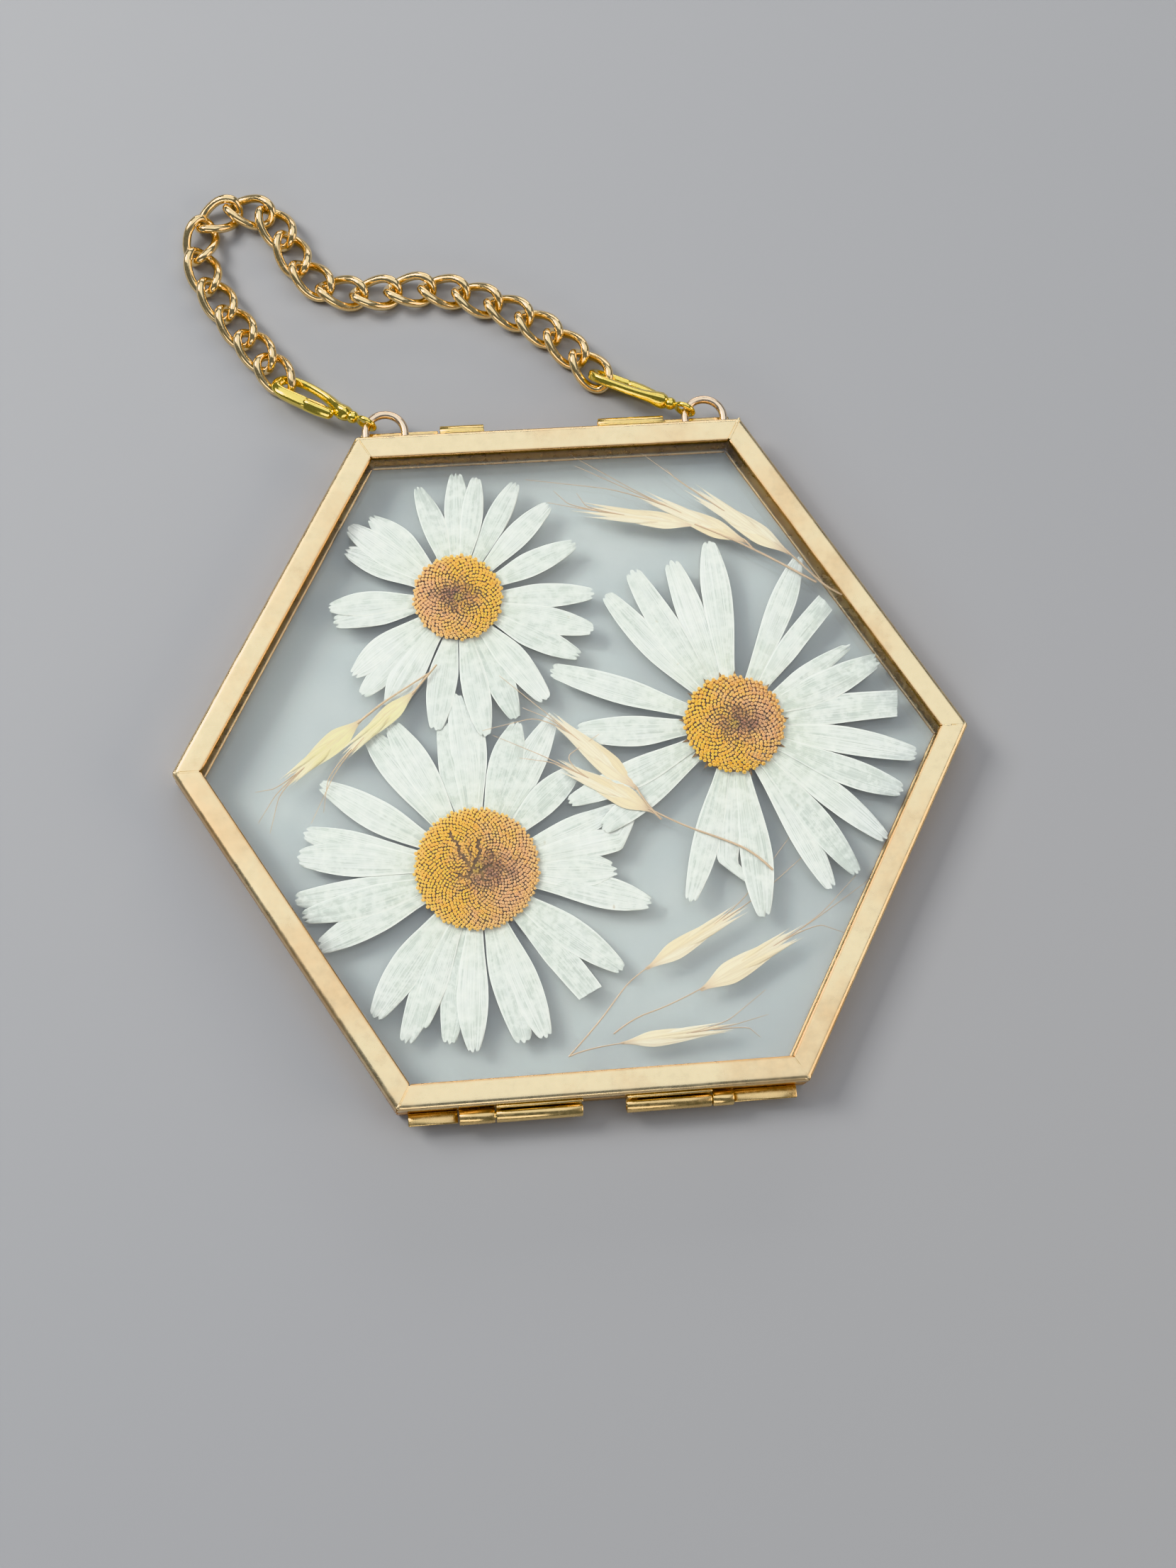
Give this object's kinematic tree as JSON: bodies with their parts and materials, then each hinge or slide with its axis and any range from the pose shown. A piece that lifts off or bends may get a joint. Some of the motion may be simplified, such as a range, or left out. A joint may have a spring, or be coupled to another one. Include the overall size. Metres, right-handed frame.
{
  "type": "pressed flower frame",
  "caption": "Hexagonal brass double-pane frame with pressed daisies and dry grass between the panes, hinged along its bottom edge and hung from a curb chain with swivel clasps.",
  "frame": {"origin": "middle of the underside of the bottom rail, on the surface that the frame lies on", "axes": "+X to the right along the hinge, +Y up the frame towards the rings and the chain, +Z out of the front pane"},
  "size_m": [0.114, 0.1437, 0.0066],
  "materials": {
    "brass": "satin, lightly tarnished folded strip",
    "bright_brass": "polished",
    "rose_gold": "polished plated wire",
    "clear_glass": "clear, polished, with a few scratches",
    "petal": "dry, papery, veined",
    "floret": "dry, granular",
    "straw": "dry, fibrous"
  },
  "bodies": {
    "back_leaf": {"back_glass": "clear_glass", "back_rim": "brass", "catch_ledge_left": "brass", "catch_ledge_right": "brass", "chain_link_01": "rose_gold", "chain_link_02": "rose_gold", "chain_link_03": "rose_gold", "chain_link_04": "rose_gold", "chain_link_05": "rose_gold", "chain_link_06": "rose_gold", "chain_link_07": "rose_gold", "chain_link_08": "rose_gold", "chain_link_09": "rose_gold", "chain_link_10": "rose_gold", "chain_link_11": "rose_gold", "chain_link_12": "rose_gold", "chain_link_13": "rose_gold", "chain_link_14": "rose_gold", "chain_link_15": "rose_gold", "chain_link_16": "rose_gold", "chain_link_17": "rose_gold", "chain_link_18": "rose_gold", "chain_link_19": "rose_gold", "chain_link_20": "rose_gold", "clasp_left_hook": "bright_brass", "clasp_left_swivel": "bright_brass", "clasp_right_hook": "bright_brass", "clasp_right_swivel": "bright_brass", "daisy_large_disc": "floret", "daisy_large_rays": "petal", "daisy_right_disc": "floret", "daisy_right_rays": "petal", "daisy_small_disc": "floret", "daisy_small_rays": "petal", "grass_bottom_pair": "straw", "grass_bottom_single": "straw", "grass_centre": "straw", "grass_left": "straw", "grass_top_pair": "straw", "grass_top_single": "straw", "hinge_knuckle_back_left": "brass", "hinge_knuckle_back_right": "brass", "hinge_ledge_left": "brass", "hinge_ledge_right": "brass", "hinge_pin_left": "bright_brass", "hinge_pin_right": "bright_brass", "ring_left": "rose_gold", "ring_right": "rose_gold"},
    "front_leaf": {"catch_tab_left": "bright_brass", "catch_tab_right": "bright_brass", "front_glass": "clear_glass", "front_rim": "brass", "hinge_knuckle_front_left": "brass", "hinge_knuckle_front_right": "brass"},
    "clasp_lever_left": {"clasp_left_gate": "bright_brass"},
    "clasp_lever_right": {"clasp_right_gate": "bright_brass"}
  },
  "joints": [
    {"name": "leaf_hinge", "type": "hinge", "parent": "back_leaf", "child": "front_leaf", "pos_m": [0, -0.00301, 0.0033], "axis": [1, 0, 0], "range_deg": [0, 180]},
    {"name": "clasp_lever_left_hinge", "type": "hinge", "parent": "back_leaf", "child": "clasp_lever_left", "pos_m": [-0.03241, 0.10189, 0.00364], "axis": [-0.1503, -0.4044, -0.9021], "range_deg": [0, 12], "stiffness_Nm_per_rad": 0.002},
    {"name": "clasp_lever_right_hinge", "type": "hinge", "parent": "back_leaf", "child": "clasp_lever_right", "pos_m": [0.01636, 0.10319, 0.00179], "axis": [0.336, 0.7491, 0.5709], "range_deg": [0, 12], "stiffness_Nm_per_rad": 0.002}
  ]
}
